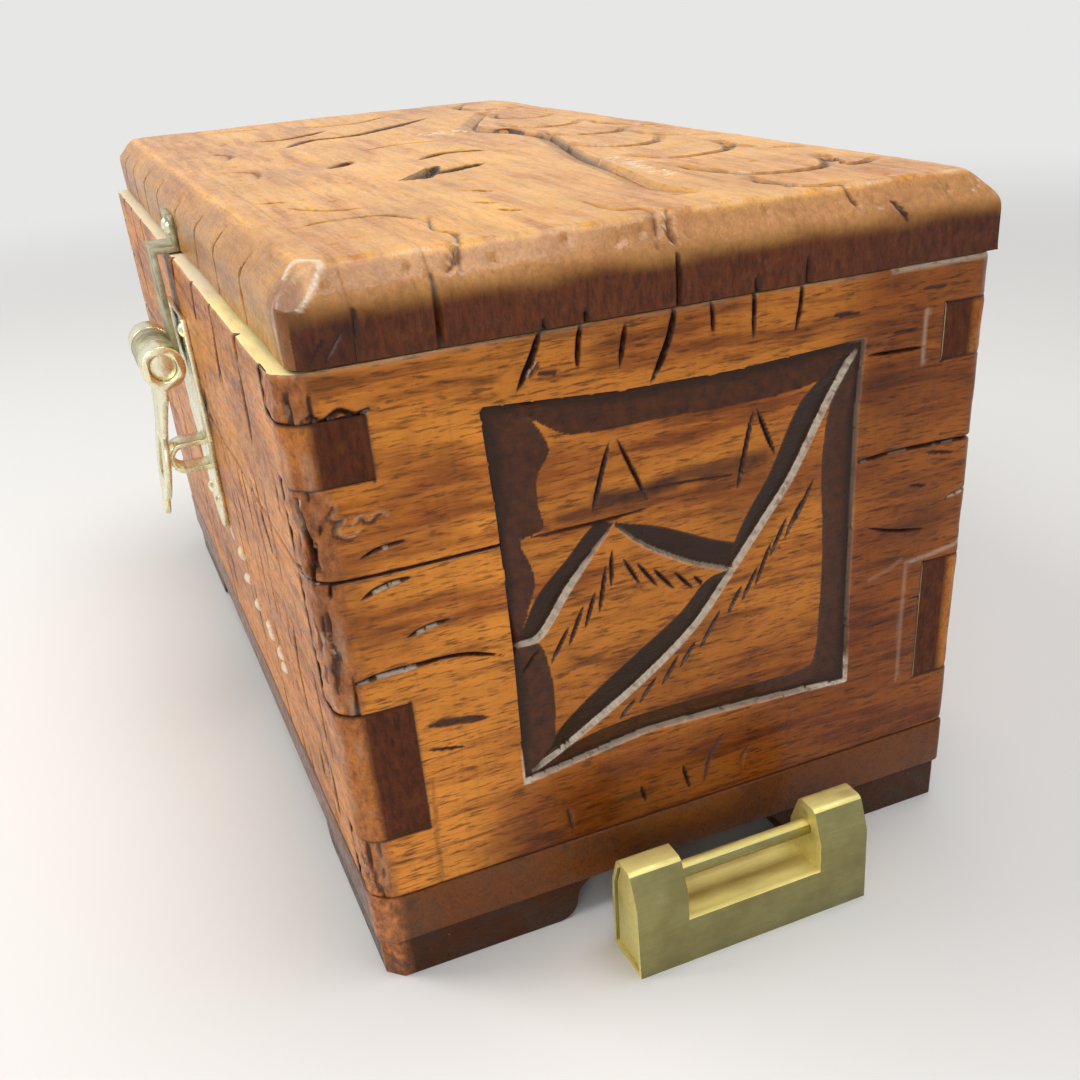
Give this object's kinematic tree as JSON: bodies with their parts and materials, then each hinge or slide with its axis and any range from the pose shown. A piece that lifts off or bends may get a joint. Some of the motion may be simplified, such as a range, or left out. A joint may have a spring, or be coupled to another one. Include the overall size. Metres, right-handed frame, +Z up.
{
  "type": "hinged box",
  "caption": "Small hinged wooden keepsake box with a carved lid and sunk end panels, brass hasp and staple, and a loose sliding-bar padlock.",
  "frame": {"origin": "on the floor, under the middle of the whole set: the box, its hinges, its hasp and the padlock beside it", "axes": "+X along the box towards the end where the padlock stands, -Y out of the front, +Z up"},
  "size_m": [0.2358, 0.1324, 0.1181],
  "materials": {
    "case_wood": "varnished, carved",
    "base_wood": "varnished",
    "lid_wood": "varnished, carved",
    "hinge_brass": "dull",
    "hasp_brass": "polished, worn",
    "lock_brass": "satin"
  },
  "bodies": {
    "case": {"front_wall": "case_wood", "back_wall": "case_wood", "left_wall": "case_wood", "right_wall": "case_wood", "bottom_board": "base_wood", "foot_front_left_long": "base_wood", "foot_front_left_short": "base_wood", "foot_back_left_long": "base_wood", "foot_back_left_short": "base_wood", "foot_front_right_long": "base_wood", "foot_front_right_short": "base_wood", "foot_back_right_long": "base_wood", "foot_back_right_short": "base_wood", "hinge_left_case_leaf": "hinge_brass", "hinge_right_case_leaf": "hinge_brass", "case_hinge_screws": "hinge_brass", "latch_plate": "hasp_brass", "latch_plate_nails": "hasp_brass", "latch_staple": "hasp_brass"},
    "lid": {"lid_front_strip": "lid_wood", "lid_second_strip": "lid_wood", "lid_main_board": "lid_wood", "hinge_left_lid_leaf": "hinge_brass", "hinge_right_lid_leaf": "hinge_brass", "hinge_left_pin": "hinge_brass", "hinge_right_pin": "hinge_brass", "lid_hinge_screws": "hinge_brass", "hasp_strap": "hasp_brass", "hasp_strap_nails": "hasp_brass", "hasp_pin": "hasp_brass"},
    "hasp": {"hasp": "hasp_brass"},
    "padlock": {"padlock_case": "lock_brass", "padlock_key_plate": "lock_brass"},
    "padlock_bar": {"padlock_bar": "lock_brass", "padlock_springs": "lock_brass"}
  },
  "joints": [
    {"name": "lid_hinge", "type": "hinge", "parent": "case", "child": "lid", "pos_m": [-0.00895, 0.06386, 0.1054], "axis": [-1, 0, 0], "range_deg": [0, 180]},
    {"name": "hasp_hinge", "type": "hinge", "parent": "lid", "child": "hasp", "pos_m": [-0.00895, -0.05994, 0.0853], "axis": [-1, 0, 0], "range_deg": [-16, 150]},
    {"name": "padlock_lift", "type": "slide", "parent": "case", "child": "padlock", "axis": [0, 0, 1], "range_m": [0, 0.06]},
    {"name": "padlock_bar_slide", "type": "slide", "parent": "padlock", "child": "padlock_bar", "axis": [0, -1, 0], "range_m": [0, 0.032]}
  ]
}
